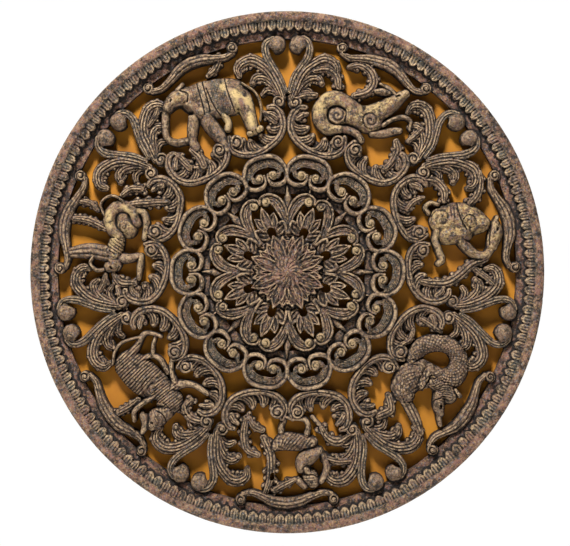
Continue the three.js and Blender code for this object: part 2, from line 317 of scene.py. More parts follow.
# %% [markdown]
# ## The rim
# The rim was turned or cut as a moulding: a rounded outer edge, a row of small buds, and a cove
# that slopes down to the openwork. Its height depends on the radius, and the buds on the angle.

# %% Carve the rim
RIM_INNER = 449.0
BUD_PITCH = 18.0
bud_count = round(FULL_TURN * 474 / BUD_PITCH)
drawn_radius = grid_radius + 0.8 * cloud(20, 3)
torus = 36 + 14 * np.sqrt(np.clip(1 - ((grid_radius - 491) / 11.5) ** 2, 0, 1))
bud_way = grid_angle * bud_count / FULL_TURN + 0.12 * cloud(30, 4)
bud_side = np.abs((bud_way + 0.5) % 1.0 - 0.5) * BUD_PITCH
bud_foot = 464 + 0.1 * bud_side ** 2
bud_rib = 2.0 * np.abs(np.sin(bud_side * math.pi / 6)) ** 4 + 0.03 * bud_side ** 2
bud_row = 41 + 4.5 * np.clip((drawn_radius - 465) / 18, 0, 1) - bud_rib
cove = 24 + 6 * np.clip((grid_radius - RIM_INNER) / 18, 0, 1) ** 2
rim_top = np.where(grid_radius > 482, torus, np.where(drawn_radius > bud_foot, bud_row, cove))
rim_inside = np.minimum(PANEL_RADIUS - grid_radius, grid_radius - RIM_INNER)
lay(everywhere, rim_inside, rim_top)
tints["red"][(rim_inside > 0)] = 1.0
tints["teal"][(rim_inside > 0) & (drawn_radius > bud_foot) & (grid_radius < 484)] = 0.8
print("the rim carries", bud_count, "buds")

# %% The plain ring and the turns of the pattern
RING_OUTER, RING_INNER, RING_TOP = 170.0, 152.0, 20.0
ring_inside = np.minimum(RING_OUTER - grid_radius, grid_radius - RING_INNER)
lay(everywhere, ring_inside, np.full(grid_x.shape, RING_TOP))

CARTOUCHES = 7
CARTOUCHE_STEP = FULL_TURN / CARTOUCHES
cartouche_turns = [math.pi + k * CARTOUCHE_STEP for k in range(CARTOUCHES)]
gap_turns = [turn + CARTOUCHE_STEP / 2 for turn in cartouche_turns]
scroll_turns = [math.pi + (k + 0.5) * FULL_TURN / 14 for k in range(14)]

# %% The frame of one cartouche
SCROLL_CREST = 36.0


def arch_scroll(unit):
    line = [
        [104, 300, 4], [114, 296, 5.5], [120, 284, 6.5], [120, 268, 6.5], [114, 252, 6], [99, 238, 5.5],
        [76, 230.5, 5.5], [52, 229, 5.5], [30, 234, 5.5], [12, 246, 5.5], [4, 262, 5.5], [10, 280, 4],
    ]
    floor = [[110, 270, 8], [98, 253, 9], [76, 245, 10], [52, 244, 10], [32, 249, 8], [22, 256, 7]]
    unit.band(floor, 17, edge=0.9, reeds=3)
    unit.lobes(line, 5, 31, 30, 34, 25, half=10, start=0.02, stop=0.72, reeds=4)
    unit.band([[x, y + 1, width + 1.5] for x, y, width in line], SCROLL_CREST, edge=0.7, reeds=2, groove=4)
    unit.roll((18, 269), 14, SCROLL_CREST + 2, spin=-1)
    unit.band([[96, 292, 4], [104, 286, 6.5], [110, 276, 7]], 35, edge=0.7, reeds=3, groove=3)


def bar(unit):
    unit.band([[0, 445, 12], [26, 441, 11], [50, 431, 8.5], [70, 424, 7], [86, 426, 6]], 38, edge=0.6, reeds=3, groove=3)
    unit.roll((90, 435), 11, 38)


for turn in cartouche_turns:
    for flip in (1, -1):
        unit = Unit(turn, flip)
        arch_scroll(unit)
        bar(unit)

# %% The lyre and the leaves in each gap
def junction(unit):
    lower = [[13, 334, 7], [26, 347, 8], [40, 349, 8], [49, 341, 6]]
    middle = [[14, 342, 9], [28, 361, 10], [45, 373, 11], [60, 373, 10], [68, 362, 7]]
    upper = [
        [10, 336, 8], [20, 362, 11], [34, 386, 12], [53, 401, 12],
        [73, 408, 12], [90, 402, 11], [98, 389, 9], [94, 377, 6],
    ]
    unit.lobes(middle, 3, 11, 10, 29, 22, half=5.5, start=0.35, stop=0.8, reeds=2)
    unit.band(lower, 29, edge=0.6, reeds=3, groove=4, foot=24)
    unit.band(middle, 34, edge=0.6, reeds=4, groove=4, foot=27)
    unit.lobes(upper, 4, 15, 14, 33, 24, half=6.5, start=0.42, stop=0.84, reeds=2)
    unit.lobes(upper, 3, 9, 14, 33, 26, side=-1, half=7, start=0.42, stop=0.75, reeds=2)
    unit.band(upper, 38, edge=0.62, reeds=4, groove=4, foot=31)
    unit.knob((67, 363), 5, 33)
    unit.roll((16, 327), 13.5, SCROLL_CREST, spin=-1)
    arm = [
        [30, 449, 6], [40, 441, 7], [43, 429, 8], [39, 413, 8], [28, 395, 8],
        [15, 374, 8], [5, 350, 6],
    ]
    unit.band(arm, 36, edge=0.8, reeds=3, groove=3.0, teal=0.6)
    unit.knob((21, 438), 18, 46)
    unit.pierce([[27, 420, 3], [31, 424, 4], [34, 430, 2]])


for turn in gap_turns:
    for flip in (1, -1):
        junction(Unit(turn, flip))

# %% The fourteen C-scrolls
def c_scroll(unit):
    channel = [[0, 214, 9], [14, 213, 9], [26, 207, 9], [33, 197, 8], [31, 189, 7], [22, 185, 6]]
    unit.band(channel, 30, edge=0.9, reeds=6, groove=2.5, foot=36, teal=0.6)
    unit.hatch(channel, 4.5, 0.8, slant=0.4)
    sweep = [
        [0, 227, 4.5], [15, 225.5, 4.5], [29, 219, 4.5], [38, 208, 4.5], [43, 195, 4.5], [42, 183, 4.5],
        [37, 174, 4.5], [28, 169, 4.5], [17, 168.5, 4.5], [8, 172, 4], [3, 180, 4], [4, 190, 3],
    ]
    unit.band(sweep, 39, edge=0.75)
    unit.pierce([[34, 188, 2.5], [31, 180, 3.5], [24, 176, 3], [18, 175, 2]])
    unit.roll((14, 187), 10, 40, rolls=1.3, depth=4, gold=0.4)


for turn in scroll_turns:
    for flip in (1, -1):
        c_scroll(Unit(turn, flip))

# %% The rosette's hooks
PETALS = 8


def hook(unit):
    arm = [[0, 96, 9], [8, 117, 8.5], [20, 135, 8.5], [34, 143, 8], [46, 143, 7], [53, 135, 5]]
    unit.band(arm, 31, edge=0.95, reeds=4, groove=2.0)
    outer = [[0, 110, 2.4], [4, 124, 2.4], [16, 142, 2.4], [33, 150, 2.6], [46, 148, 2.6], [54, 140, 2.4], [53, 130, 2]]
    unit.band(outer, 35, edge=0.8)
    unit.band([[6, 96, 2], [15, 113, 2.2], [26, 128, 2.2], [34, 135, 2]], 33, edge=0.8)
    unit.roll((43, 135), 10, 36, spin=-1, depth=4, rolls=1.3, gold=0.5)
    unit.band([[2, 76, 4], [4, 88, 4], [9, 98, 3.5], [16, 95, 2.5]], 37, edge=0.7)
    unit.band([[44, 150, 3], [45, 157, 2.5], [45, 164, 1]], 26)


for k in range(PETALS):
    turn = k * FULL_TURN / PETALS
    for flip in (1, -1):
        hook(Unit(turn, flip))
    Unit(turn).band([[0, 60, 9], [0, 100, 8], [0, 120, 5]], 22, edge=0.8, teal=0.8)
    Unit(turn).band([[0, 122, 4], [0, 138, 8.5], [0, 150, 5], [0, 167, 1.5]], 28, edge=0.55)

# %% The rosette's leaves and petals
def pointed_lobe(unit, root, tip, width, crest, **tint):
    """A pointed lobe with raised edges that meet at its tip."""
    (ax, ay), (bx, by) = root, tip
    mx, my = (ax + bx) / 2, (ay + by) / 2
    size = math.dist(root, tip)
    across_x, across_y = (by - ay) / size, (ax - bx) / size
    unit.band([[ax, ay, width], [mx, my, width], [bx, by, 1.5]], crest - 3, edge=0.95, reeds=4, groove=1.6, **tint)
    for side in (1, -1):
        ox, oy = side * across_x * (width - 1.5), side * across_y * (width - 1.5)
        edge = [[ax + ox, ay + oy, 1.8], [mx + ox, my + oy, 1.9], [bx, by, 1.5]]
        unit.band(edge, crest, edge=0.85, **tint)
    unit.band([[ax, ay, 1.5], [mx, my, 1.5], [bx, by, 1]], crest - 0.5, edge=0.9, **tint)


def half_leaf(unit):
    unit.band([[0, 58, 10], [13, 68, 9], [16, 82, 9], [8, 95, 10]], 26, edge=0.9)
    pointed_lobe(unit, (14, 66), (33, 66), 8, 29)
    pointed_lobe(unit, (12, 79), (31, 90), 9, 32)
    pointed_lobe(unit, (8, 92), (21, 117), 9, 34)


def half_petal(unit):
    pointed_lobe(unit, (15, 30), (24, 55), 9, 39, red=0.8)
    pointed_lobe(unit, (8, 30), (16, 66), 10, 41, red=0.8)


ROSETTE_FLOOR = 30.0
lay(everywhere, 57 - grid_radius, np.full(grid_x.shape, ROSETTE_FLOOR), red=0.6)
for k in range(PETALS):
    turn = (k + 0.5) * FULL_TURN / PETALS
    for flip in (1, -1):
        half_leaf(Unit(turn, flip))
    pointed_lobe(Unit(turn), (0, 94), (0, 133), 10, 36)
    Unit(turn).pierce([[0, 76, 7.5], [0, 84, 8]])
    for flip in (1, -1):
        half_petal(Unit(turn, flip))
    pointed_lobe(Unit(turn), (0, 30), (0, 75), 12, 43, red=0.8)

# %% The boss
boss = np.clip(1 - (grid_radius / 34) ** 2, 0, 1)
swirl = np.abs(np.sin(8 * grid_angle + grid_radius / 6)) ** 0.6
boss_top = 34 + 15 * np.sqrt(boss) - 3 * (1 - swirl) * np.clip(grid_radius / 10, 0, 1)
lay(everywhere, 34 - grid_radius, boss_top, red=1.0)

# %% [markdown]
# ## The animals
# Each cartouche holds another animal, feet towards the centre. They are rounder and higher than
# the scrolls, so their light parts catch what is left of the gilding.

# %% The figure at the foot
BEAST = 46.0
LIMB = 36.0


def figure(unit):
    unit.plume([[46, 318, 8], [34, 345, 10], [32, 372, 9], [34, 398, 8], [42, 424, 6]], count=6, reach=12)
    unit.plume([[58, 352, 7], [78, 342, 8], [84, 315, 8], [80, 286, 6]], count=4)
    unit.plume([[-14, 400, 5], [2, 408, 7], [24, 420, 6]], count=3, reach=8, half=6)
    unit.plume([[48, 304, 7], [64, 296, 8], [74, 282, 6]], count=3, reach=8, half=6)
    unit.plume([[-122, 312, 7], [-100, 326, 10], [-78, 318, 8], [-66, 300, 5]], count=3, reach=10)
    unit.plume([[-124, 362, 6], [-98, 364, 8], [-76, 358, 6]], count=3, reach=8)
    unit.pierce([[30, 390, 4], [31, 398, 4.5]])
    unit.pierce([[44, 361, 3.5], [45, 368, 4]])
    unit.pierce([[12, 346, 6], [20, 348, 5]])
    unit.body([[[-66, 402, 7], [-76, 388, 8], [-78, 370, 8], [-70, 352, 8], [-60, 342, 8]]], LIMB, red=0.3)
    unit.body([[[-38, 314, 7], [-42, 296, 6], [-34, 283, 6], [-8, 281, 5], [10, 276, 5]]], LIMB - 2)
    unit.body([[[10, 318, 7], [12, 300, 7], [6, 284, 6]]], 30)
    unit.body([[[-64, 296, 5], [-48, 278, 5]]], 27)
    skirt = [[-46, 328, 14], [-20, 328, 18], [6, 326, 18], [24, 334, 10]]
    unit.body([skirt], BEAST - 6, edge=0.4)
    unit.hatch(skirt, 7, 3, slant=0.7)
    unit.body(
        [
            [[-62, 344, 10], [-44, 354, 17], [-30, 366, 16], [-26, 378, 10]],
            [[-34, 376, 8], [-42, 388, 8]],
        ],
        BEAST,
        gilt=0.3,
        red=0.3,
    )
    unit.body([[[-50, 404, 14], [-44, 394, 17]]], BEAST, edge=0.4)
    unit.hatch([[-52, 408, 16], [-42, 388, 18]], 5, 2, slant=0.4)
    unit.score([[-62, 396, 1.5], [-48, 388, 1.5], [-32, 390, 1.5]], 5)
    unit.body([[[-34, 412, 8], [-22, 402, 9]]], 34)


def serpent(unit):
    unit.plume([[62, 304, 7], [80, 322, 9], [106, 312, 8]], count=4)
    unit.band([[104, 306, 6], [134, 304, 6]], 26)
    unit.plume([[-98, 306, 4], [-97, 288, 7], [-94, 262, 6]], count=3, reach=8, half=6)
    unit.plume([[-66, 262, 5], [-50, 268, 6], [-30, 262, 5]], count=2, reach=7, half=5)
    unit.plume([[46, 326, 10], [56, 352, 11], [66, 374, 10], [80, 398, 7]], crest=34, count=5, reach=7, length=14, half=6)
    coil = [
        [-20, 296, 15], [-50, 294, 18], [-76, 312, 18], [-88, 340, 17],
        [-78, 368, 18], [-52, 380, 21], [-28, 368, 22], [-22, 344, 20],
    ]
    unit.body([coil], BEAST - 6)
    haunch = [[-16, 316, 20], [8, 312, 29], [34, 318, 24], [40, 332, 14]]
    unit.body([haunch, [[-18, 336, 22], [4, 340, 14]]], BEAST - 1)
    mane = [[-12, 352, 14], [-16, 376, 17], [-10, 398, 15]]
    unit.body([mane, [[0, 380, 14], [18, 392, 13], [26, 402, 10]]], BEAST)
    unit.body([[[18, 398, 9], [34, 406, 7], [44, 416, 5]]], BEAST - 5)
    unit.body([[[-26, 398, 6], [-24, 412, 5]]], 36)
    unit.hatch(coil, 6.5, 2.6, slant=0.6, cross=True)
    unit.hatch(haunch, 7, 2.6, slant=0.5, cross=True)
    unit.hatch(mane, 6, 3, slant=0.9)
    unit.hatch([[0, 380, 14], [26, 402, 12]], 5, 2.2, slant=0.3)
    unit.pierce([[6, 360, 4.5], [10, 353, 5]])
    unit.score([[14, 394, 3], [17, 397, 3]], 9)
    unit.score([[2, 384, 2], [16, 378, 2], [28, 384, 2]], 6)
    unit.score([[-22, 342, 2], [10, 346, 2], [40, 342, 2]], 6)


def rampant_beast(unit):
    unit.plume([[60, 384, 7], [64, 358, 9], [80, 328, 10], [88, 300, 10], [84, 268, 9], [76, 250, 6]], count=7, reach=10)
    unit.plume([[72, 356, 6], [96, 378, 7], [120, 396, 6]], count=3, reach=7, half=6)
    unit.plume([[-114, 300, 7], [-104, 322, 9], [-84, 334, 9], [-66, 330, 6]], count=4, reach=9)
    unit.plume([[-104, 408, 6], [-80, 404, 9], [-60, 394, 9], [-50, 378, 7]], count=4, reach=10)
    unit.plume([[-82, 292, 4], [-78, 272, 7], [-66, 256, 6]], count=3, reach=8, half=6)
    unit.plume([[-20, 282, 6], [-14, 270, 7], [-18, 258, 6]], count=2, reach=7, half=6)
    unit.body([[[-12, 304, 10], [4, 297, 9], [26, 299, 8], [44, 300, 8], [50, 291, 6]]], LIMB + 2, gilt=0.9)
    unit.body([[[-62, 316, 5], [-69, 304, 5], [-62, 291, 6], [-50, 294, 6]]], LIMB, gilt=0.8)
    unit.body(
        [
            [[-30, 318, 27], [-26, 350, 32], [-14, 378, 26], [-6, 396, 15]],
            [[2, 350, 22], [-2, 320, 22]],
        ],
        BEAST,
        gilt=1.0,
    )
    foreleg = [[46, 396, 10], [54, 384, 10], [48, 366, 10], [32, 354, 11], [16, 344, 11]]
    unit.body([foreleg], LIMB + 4, gilt=0.7, red=0.3)
    unit.body([[[0, 418, 10], [18, 414, 16], [38, 402, 13]]], BEAST, gilt=0.9, red=0.3)
    unit.body([[[-12, 424, 5], [0, 416, 7]]], BEAST - 4, gilt=0.9)
    unit.paint([[-56, 344, 8], [-30, 340, 10]], gilt=0.0, red=0.9)
    unit.paint([[14, 352, 7], [30, 356, 6]], gilt=0.0, red=0.9)
    unit.coil((-14, 368), 16, depth=3)
    unit.coil((-34, 314), 18, depth=3)
    unit.hatch([[-44, 330, 14], [-40, 350, 12]], 6, 2.5)
    unit.score([[-56, 352, 2], [-30, 350, 2], [0, 358, 2]], 4)
    unit.score([[10, 420, 3], [13, 418, 3]], 6)
    unit.score([[2, 408, 2], [22, 400, 2], [36, 396, 2]], 5)


def curled_beast(unit):
    unit.plume([[84, 318, 7], [94, 304, 9], [94, 280, 9], [86, 258, 6]], count=4)
    unit.plume([[104, 330, 5], [112, 346, 7], [118, 362, 6]], count=2, reach=8, half=6)
    unit.plume([[-98, 330, 7], [-116, 322, 8], [-134, 306, 6]], count=3, reach=8)
    unit.plume([[-120, 372, 6], [-98, 386, 9], [-76, 382, 9], [-64, 364, 7]], count=4)
    unit.plume([[-62, 408, 5], [-46, 420, 8], [-22, 418, 10], [-6, 400, 10], [-10, 380, 10], [-30, 362, 7]], crest=33, count=5)
    unit.body([[[34, 312, 8], [54, 322, 9], [70, 334, 9], [80, 340, 7]]], LIMB, red=0.3)
    unit.body([[[46, 336, 6], [58, 356, 6], [76, 368, 6], [92, 366, 5], [98, 350, 4]]], LIMB - 2)
    unit.body([[[-44, 284, 9], [-22, 294, 9], [0, 299, 9], [20, 290, 8]]], LIMB + 4, red=0.8)
    unit.body([[[14, 294, 6], [18, 262, 6]]], 30)
    shell = [
        [-10, 336, 18], [-36, 342, 17], [-62, 338, 18], [-76, 316, 17],
        [-68, 292, 16], [-48, 284, 13], [-26, 292, 10],
    ]
    unit.body(
        [
            shell,
            [[-44, 314, 24], [-40, 312, 22]],
            [[-20, 326, 22], [4, 328, 24], [24, 332, 24]],
            [[18, 344, 22], [34, 366, 18], [48, 390, 14], [60, 410, 9]],
        ],
        BEAST,
        gilt=1.0,
    )
    unit.body([[[30, 396, 7], [18, 394, 9], [4, 388, 6]]], 40)
    unit.body([[[42, 400, 6], [24, 404, 6], [6, 404, 4]]], 38)
    unit.score([[-24, 310, 2.5], [-32, 328, 2.5], [-50, 330, 2.5], [-62, 316, 2.5], [-54, 298, 2.5], [-38, 296, 2.5]], 5)
    unit.coil((-43, 313), 18, depth=4)
    unit.coil((20, 333), 17, depth=4)
    unit.paint([[-46, 314, 16], [-42, 312, 15]], gilt=0.0)
    unit.paint([[20, 333, 14], [21, 334, 14]], gilt=0.0)
    unit.paint([[-44, 350, 9], [-12, 344, 9]], gilt=0.3, red=0.9)
    unit.paint([[44, 368, 7], [58, 386, 7]], gilt=0.2, red=0.7)
    unit.paint([[-78, 336, 8], [-78, 308, 8]], gold=0.9)
    unit.paint([[-4, 346, 6], [14, 358, 6], [24, 372, 5]], gold=0.8)
    unit.score([[46, 396, 2.5], [50, 400, 2.5]], 7)


def elephant(unit):
    unit.plume([[24, 408, 5], [44, 414, 8], [62, 428, 6]], count=3, reach=9, half=6)
    unit.plume([[-120, 372, 5], [-100, 384, 7], [-88, 398, 5]], count=3, reach=8, half=6)
    unit.plume([[-100, 300, 5], [-92, 284, 8], [-84, 262, 7]], count=3, reach=9)
    unit.plume([[-66, 292, 7], [-58, 274, 9], [-58, 256, 8]], count=3, reach=10)
    unit.plume([[88, 300, 4], [96, 286, 7], [104, 270, 6]], count=3, reach=8, half=6)
    trunk = [[-80, 380, 9], [-92, 360, 8], [-100, 334, 7], [-88, 318, 8], [-66, 312, 8]]
    unit.body([trunk], LIMB, gilt=0.3, red=0.4)
    unit.body([[[-34, 346, 13], [-48, 326, 12], [-58, 308, 10], [-58, 292, 10]]], LIMB + 2, gilt=0.3, red=0.3)
    unit.body([[[20, 330, 9], [20, 308, 9], [14, 298, 9]]], LIMB - 3, gold=0.8)
    unit.body([[[-14, 350, 16], [-12, 316, 15], [-6, 286, 13], [-4, 264, 10]]], LIMB + 4)
    unit.body(
        [
            [[-72, 386, 12], [-50, 394, 18], [-22, 384, 22], [6, 366, 38], [42, 354, 36]],
            [[54, 350, 30], [64, 326, 18], [62, 296, 14], [61, 276, 13]],
            [[-30, 372, 18], [-18, 350, 17]],
        ],
        BEAST,
        gilt=0.2,
        red=0.2,
    )
    unit.body([[[-40, 408, 8], [-30, 414, 5]]], LIMB)
    unit.body([[[50, 271, 7], [74, 271, 7]]], LIMB + 6, gold=0.9)
    unit.body([[[78, 366, 3], [90, 344, 3], [93, 320, 3], [88, 300, 3], [80, 286, 3]]], 36, gilt=0.8)
    unit.pierce([[6, 315, 4], [11, 311, 4]])
    unit.paint([[-62, 396, 10], [-30, 390, 12]], gilt=0.7, red=0.5)
    unit.paint([[58, 352, 10], [72, 334, 8], [70, 308, 7], [62, 288, 9]], gold=1.0, gilt=0.0)
    unit.paint([[46, 306, 5], [52, 336, 6]], gold=0.9, gilt=0.0)
    unit.score([[62, 336, 6], [59, 318, 5]], 1.0, gold=0.0, red=1.0, gilt=0.0)
    strap = [[4, 406, 5], [0, 376, 5], [-8, 342, 5]]
    unit.score(strap, -2.0, gilt=0.0, teal=0.8)
    for shift in (-6, 6):
        unit.score([[x + shift, y, 1.6] for x, y, width in strap], 4.5)
    saddle = [[32, 384, 13], [28, 360, 15], [28, 334, 12]]
    unit.score(saddle, 1.0, gilt=0.0, teal=1.0)
    unit.hatch(saddle, 5, 1.5, slant=0.6, cross=True)
    unit.score([[12, 386, 1.6], [10, 352, 1.6], [14, 326, 1.6]], 4)
    unit.score([[50, 388, 1.6], [46, 356, 1.6], [42, 324, 1.6]], 4)
    unit.score([[43, 375, 8], [44, 375, 8]], -4, gold=1.0, gilt=0.0)
    unit.score([[-60, 376, 7], [-44, 366, 10], [-36, 356, 6]], 12)
    unit.score([[-62, 394, 2.5], [-60, 396, 2.5]], 6)
    unit.score([[-38, 404, 2], [-28, 392, 2], [-34, 378, 2]], 5)
    for toe in (48, 56, 64, 72):
        unit.score([[toe, 266, 1.5], [toe, 272, 1.5]], 4)


def fantastic_lion(unit):
    unit.plume([[58, 326, 7], [66, 304, 9], [74, 282, 8], [80, 258, 6]], count=4)
    unit.plume([[72, 346, 6], [86, 334, 8], [92, 314, 7]], count=3, reach=9)
    unit.plume([[-78, 330, 5], [-92, 312, 9], [-88, 288, 7]], count=3)
    unit.plume([[-100, 316, 6], [-134, 302, 6]], count=2, reach=8, half=6)
    unit.plume([[-84, 346, 6], [-98, 346, 8], [-116, 350, 6]], count=3, reach=9)
    unit.roll((-88, 266), 9, 28)
    unit.plume([[4, 366, 7], [10, 392, 8], [8, 430, 6]], count=6, reach=8, length=14, half=6)
    unit.plume([[34, 388, 5], [44, 404, 7], [44, 424, 6]], count=3, reach=8, half=6)
    unit.body([[[28, 374, 3.5], [46, 384, 3.5], [62, 376, 3.5], [67, 360, 3.5], [60, 342, 4]]], LIMB)
    unit.body([[[-46, 332, 14], [-44, 310, 10], [-36, 292, 8]]], LIMB)
    unit.body([[[-76, 281, 5], [-54, 284, 8], [-34, 286, 7]]], LIMB + 2, gilt=0.8)
    unit.body([[[46, 318, 10], [48, 300, 9], [30, 288, 8], [0, 285, 7]]], LIMB + 2, gilt=0.8)
    wing = [[-44, 348, 15], [-44, 374, 16], [-50, 398, 14], [-58, 420, 10]]
    unit.plume(wing, crest=38, count=5, reach=7, half=7)
    unit.body([[[-74, 352, 4.5], [-78, 366, 4.5], [-68, 380, 4.5], [-54, 376, 4.5]]], 38)
    unit.pierce([[-66, 366, 6.5], [-65, 369, 6.5]])
    unit.body([[[-66, 342, 12], [-60, 332, 15], [-48, 340, 12]]], BEAST - 2, gilt=0.5, red=0.6)
    ruff = [[-40, 336, 16], [-20, 338, 17], [-6, 338, 15]]
    unit.body([ruff], BEAST - 4, gilt=0.9)
    unit.hatch(ruff, 6, 3.5, slant=0.5)
    back = [
        [-4, 340, 14], [8, 356, 13], [26, 362, 14], [44, 354, 14],
        [50, 336, 14], [44, 318, 13], [26, 308, 12],
    ]
    unit.body([back, [[24, 334, 16], [30, 336, 16]]], BEAST - 4, gilt=0.4, red=0.8)
    unit.body([[[10, 318, 17], [18, 330, 18]]], BEAST + 2, gilt=0.9)
    unit.coil((14, 330), 11, depth=2.5)
    unit.paint([[12, 360, 8], [32, 366, 7]], gold=0.9)
    unit.paint([[50, 336, 5], [42, 318, 5]], gold=0.9)
    unit.paint([[-22, 346, 7], [-8, 342, 6]], gold=0.8)
    unit.score([[-68, 336, 2.5], [-66, 338, 2.5]], 7)
    unit.score([[-76, 326, 1.6], [-62, 322, 1.6]], 5)


def striped_beast(unit):
    unit.plume([[-10, 382, 7], [-10, 404, 8], [-6, 428, 7]], count=4, reach=8, half=6)
    unit.plume([[-122, 308, 7], [-102, 322, 10], [-80, 318, 9], [-76, 302, 6]], count=3, reach=9)
    unit.band([[-78, 334, 4], [-66, 320, 5]], 26)
    unit.body([[[-34, 314, 11], [-42, 294, 9], [-58, 278, 7], [-84, 268, 6]]], LIMB, red=0.4)
    unit.body([[[-36, 306, 8], [-14, 300, 7], [4, 288, 6], [12, 278, 5]]], LIMB - 2)
    unit.body([[[48, 330, 7], [42, 310, 6], [28, 300, 6], [-6, 304, 6]]], LIMB - 2, red=0.5)
    unit.body([[[40, 306, 5], [54, 294, 5], [64, 280, 5]]], LIMB - 3)
    unit.body([[[66, 340, 12], [72, 318, 8], [82, 292, 6], [72, 280, 5], [58, 270, 5]]], LIMB, red=0.4)
    unit.body([[[74, 378, 3.5], [90, 362, 4], [96, 340, 4], [90, 320, 3.5], [82, 304, 3.5]]], 34)
    unit.body(
        [
            [[-52, 334, 25], [-16, 340, 30], [24, 348, 34], [52, 352, 30]],
            [[-62, 352, 16], [-62, 362, 16]],
        ],
        BEAST,
    )
    unit.body([[[-64, 388, 15], [-60, 372, 20]]], BEAST + 1, edge=0.4)
    unit.body([[[-64, 414, 5], [-56, 400, 9], [-40, 392, 10]]], BEAST, red=0.6)
    unit.body([[[-36, 412, 5], [-24, 402, 6], [-21, 380, 6], [-24, 358, 6], [-24, 344, 4]]], BEAST + 2, red=0.3)
    unit.hatch([[-2, 342, 40], [80, 350, 40]], 5.5, 3.2)
    unit.hatch([[-72, 316, 24], [-12, 344, 30]], 5.5, 3.0, slant=0.5)
    unit.hatch([[-66, 392, 16], [-58, 366, 24]], 5, 2.4, slant=0.5)
    unit.pierce([[-38, 384, 4], [-30, 381, 4]])
    unit.pierce([[-40, 364, 4], [-34, 360, 5]])
    unit.score([[-62, 386, 3], [-60, 388, 3]], 7)
    unit.score([[-80, 366, 1.6], [-64, 360, 1.6], [-48, 366, 1.6]], 5)


ANIMALS = (figure, serpent, rampant_beast, curled_beast, elephant, fantastic_lion, striped_beast)
for turn, animal in zip(cartouche_turns, ANIMALS):
    animal(Unit(turn))

# %% [markdown]
# ## From heights to a closed body
# Cells whose middle lies in the wood become the front. Each gets a twin on the flat back, and
# upright walls join the two along every opening, so the body is closed like the real plank.

# %% Wear and loss
# Centuries of weather leave small chips and a slightly uneven face.
height += 1.0 * cloud(11, 5) + 0.7 * cloud(5, 6)
height -= 5.0 * np.clip(cloud(6, 7) - 0.6, 0, 1)

# %% Choose the solid cells
def middle(layer):
    return (layer[:-1, :-1] + layer[1:, :-1] + layer[:-1, 1:] + layer[1:, 1:]) / 4


solid = middle(inside) > 0
while True:
    a, b, c, d = solid[:-1, :-1], solid[:-1, 1:], solid[1:, :-1], solid[1:, 1:]
    falling = a & d & ~b & ~c
    rising = b & c & ~a & ~d
    if not (falling.any() or rising.any()):
        break
    solid[:-1, 1:] |= falling
    solid[:-1, :-1] |= rising

reached = np.zeros(solid.shape, bool)
reached[:, :10] = solid[:, :10]
while True:
    grown = reached.copy()
    grown[1:] |= reached[:-1]
    grown[:-1] |= reached[1:]
    grown[:, 1:] |= reached[:, :-1]
    grown[:, :-1] |= reached[:, 1:]
    grown &= solid
    if (grown == reached).all():
        break
    reached = grown
print("loose cells left out:", int((solid & ~reached).sum()))
solid = reached

# %% Build the mesh
surface = np.where(inside > 0, height, brink)
slope_y, slope_x = np.gradient(inside, CELL)
slope = slope_x ** 2 + slope_y ** 2 + 1e-6
near_edge = np.zeros(inside.shape, bool)
used = np.zeros(inside.shape, int)
for dy in (0, 1):
    for dx in (0, 1):
        used[dy:dy + solid.shape[0], dx:dx + solid.shape[1]] += solid
near_edge = (used > 0) & (used < 4)
shift = np.clip(-inside / np.sqrt(slope), -0.6 * CELL, 0.6 * CELL) * near_edge
flat_x = grid_x + shift * slope_x / np.sqrt(slope)
flat_y = grid_y + shift * slope_y / np.sqrt(slope)
over = np.maximum(np.hypot(flat_x, flat_y) / PANEL_RADIUS, 1)
flat_x, flat_y = flat_x / over, flat_y / over
surface = np.clip(surface, 4, PANEL_DEPTH)

number = np.cumsum((used > 0).ravel()).reshape(used.shape) - 1
count = int((used > 0).sum())
picked = used > 0
front = np.stack([
    flat_x[picked] * SHRINK_ACROSS_GRAIN, -BACK_PLANE - surface[picked], flat_y[picked],
], 1)
back = front.copy()
back[:, 1] = -BACK_PLANE
vertices = np.vstack([front, back]) / 1000

a, b = number[:-1, :-1][solid], number[:-1, 1:][solid]
c, d = number[1:, 1:][solid], number[1:, :-1][solid]
faces = [np.stack([a, b, c, d], 1), np.stack([d, c, b, a], 1) + count]
padded = np.pad(solid, 1)
for (dy, dx), (first, second) in {
    (-1, 0): ((0, 0), (0, 1)),
    (0, 1): ((0, 1), (1, 1)),
    (1, 0): ((1, 1), (1, 0)),
    (0, -1): ((1, 0), (0, 0)),
}.items():
    neighbour = padded[1 + dy:padded.shape[0] - 1 + dy, 1 + dx:padded.shape[1] - 1 + dx]
    rows, columns = np.nonzero(solid & ~neighbour)
    p = number[rows + first[0], columns + first[1]]
    q = number[rows + second[0], columns + second[1]]
    faces.append(np.stack([q, p, p + count, q + count], 1))
faces = np.vstack(faces)

mesh = bpy.data.meshes.new("panel_relief_fine")
mesh.vertices.add(len(vertices))
mesh.vertices.foreach_set("co", vertices.astype(np.float32).ravel())
mesh.loops.add(faces.size)
mesh.loops.foreach_set("vertex_index", faces.astype(np.int32).ravel())
mesh.polygons.add(len(faces))
mesh.polygons.foreach_set("loop_start", np.arange(0, faces.size, 4, dtype=np.int32))
mesh.update(calc_edges=True)
fine = bpy.data.objects.new("panel_relief_fine", mesh)
bpy.context.scene.collection.objects.link(fine)
print("the fine body has", len(faces), "faces")

# %% Thin the mesh out
TRIANGLES = 195000
thin = fine.modifiers.new("thin", "DECIMATE")
thin.ratio = TRIANGLES / (2 * len(faces))
depsgraph = bpy.context.evaluated_depsgraph_get()
final_mesh = bpy.data.meshes.new_from_object(fine.evaluated_get(depsgraph))
panel = bpy.data.objects.new("openwork_panel", final_mesh)
bpy.context.scene.collection.objects.link(panel)
bpy.data.objects.remove(fine)
